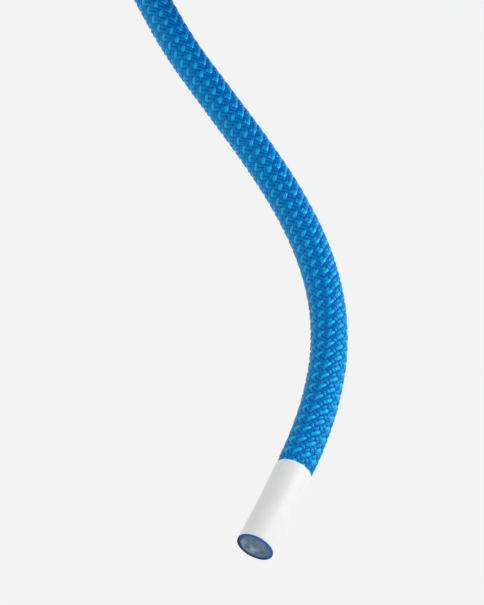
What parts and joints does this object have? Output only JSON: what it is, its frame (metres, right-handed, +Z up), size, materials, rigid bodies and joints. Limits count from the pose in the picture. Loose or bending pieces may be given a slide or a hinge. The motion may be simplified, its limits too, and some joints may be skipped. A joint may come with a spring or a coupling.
{
  "type": "dynamic climbing rope",
  "caption": "Blue braided climbing rope in a round coil, one end lying free in front with a white end band and a hot-cut face, the other end on top of the coil.",
  "frame": {"origin": "middle of the space that the rope covers on the surface it lies on, at that surface", "axes": "+Z up from the surface; +Y from the free end towards the coil; +X to the right when the free end points at the viewer"},
  "size_m": [0.2607, 0.4554, 0.1338],
  "materials": {
    "rope_sheath": "braided polyamide yarn, soft sheen",
    "core_strand": "twisted undyed polyamide",
    "id_thread": "twisted thread",
    "end_band": "shrunk film, soft gloss",
    "fused_cut": "melted and set polyamide, semi-gloss"
  },
  "bodies": {
    "root": {"coiled_rope": "rope_sheath", "free_end_sheath": "rope_sheath", "free_end_band": "end_band", "free_end_fused_cut": "fused_cut", "free_end_id_thread": "id_thread", "free_end_outer_strand_1": "core_strand", "free_end_outer_strand_2": "core_strand", "free_end_outer_strand_3": "core_strand", "free_end_outer_strand_4": "core_strand", "free_end_outer_strand_5": "core_strand", "free_end_outer_strand_6": "core_strand", "free_end_outer_strand_7": "core_strand", "free_end_outer_strand_8": "core_strand", "free_end_outer_strand_9": "core_strand", "free_end_inner_strand_1": "core_strand", "free_end_inner_strand_2": "core_strand", "free_end_inner_strand_3": "core_strand", "top_end_sheath": "rope_sheath", "top_end_band": "end_band", "top_end_fused_cut": "fused_cut", "top_end_id_thread": "id_thread", "top_end_outer_strand_1": "core_strand", "top_end_outer_strand_2": "core_strand", "top_end_outer_strand_3": "core_strand", "top_end_outer_strand_4": "core_strand", "top_end_outer_strand_5": "core_strand", "top_end_outer_strand_6": "core_strand", "top_end_outer_strand_7": "core_strand", "top_end_outer_strand_8": "core_strand", "top_end_outer_strand_9": "core_strand", "top_end_inner_strand_1": "core_strand", "top_end_inner_strand_2": "core_strand", "top_end_inner_strand_3": "core_strand"}
  },
  "joints": []
}
